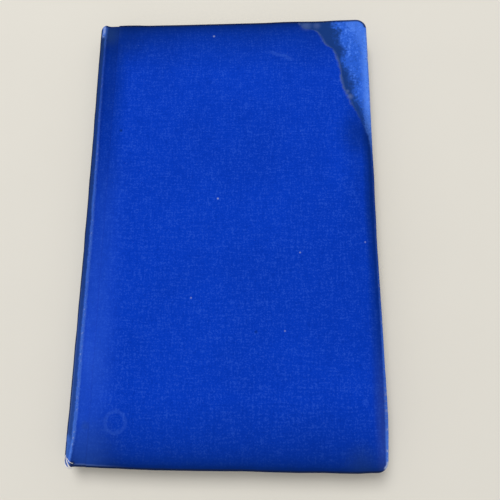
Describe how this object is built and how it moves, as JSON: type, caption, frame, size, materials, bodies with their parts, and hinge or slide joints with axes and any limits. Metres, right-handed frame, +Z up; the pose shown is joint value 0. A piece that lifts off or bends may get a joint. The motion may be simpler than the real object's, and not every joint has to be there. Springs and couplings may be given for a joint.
{
  "type": "hardback book",
  "caption": "Slim clothbound hardback with rounded spine, French joints and plain covers that open flat.",
  "frame": {"origin": "centre of the closed book's footprint, on the outer face of the back cover", "axes": "+X from the spine to the fore-edge, +Y from the tail to the head, +Z up out of the front cover"},
  "size_m": [0.1436, 0.222, 0.0126],
  "materials": {
    "book_cloth": "matt royal-blue book cloth, worn pale along its edges",
    "greyboard": "matt",
    "spine_card": "matt",
    "leaves": "matt, toned with age",
    "endpaper": "matt",
    "lining_paper": "matt kraft",
    "mull": "open weave, stiffened with paste",
    "thread": "linen"
  },
  "bodies": {
    "text_block": {"pages": "leaves", "sewing_thread": "thread", "mull": "mull", "spine_lining": "lining_paper", "front_flyleaf": "endpaper", "back_flyleaf": "endpaper", "spine_inlay": "spine_card", "spine_cloth": "book_cloth"},
    "front_cover": {"front_board": "greyboard", "front_cloth": "book_cloth", "front_mull_flange": "mull", "front_pastedown": "endpaper"},
    "back_cover": {"back_board": "greyboard", "back_cloth": "book_cloth", "back_mull_flange": "mull", "back_pastedown": "endpaper"}
  },
  "joints": [
    {"name": "front_hinge", "type": "hinge", "parent": "text_block", "child": "front_cover", "pos_m": [-0.0674, 0, 0.00971], "axis": [0, -1, 0], "range_deg": [0, 178]},
    {"name": "back_hinge", "type": "hinge", "parent": "text_block", "child": "back_cover", "pos_m": [-0.0674, 0, 0.00285], "axis": [0, 1, 0], "range_deg": [0, 178]}
  ]
}
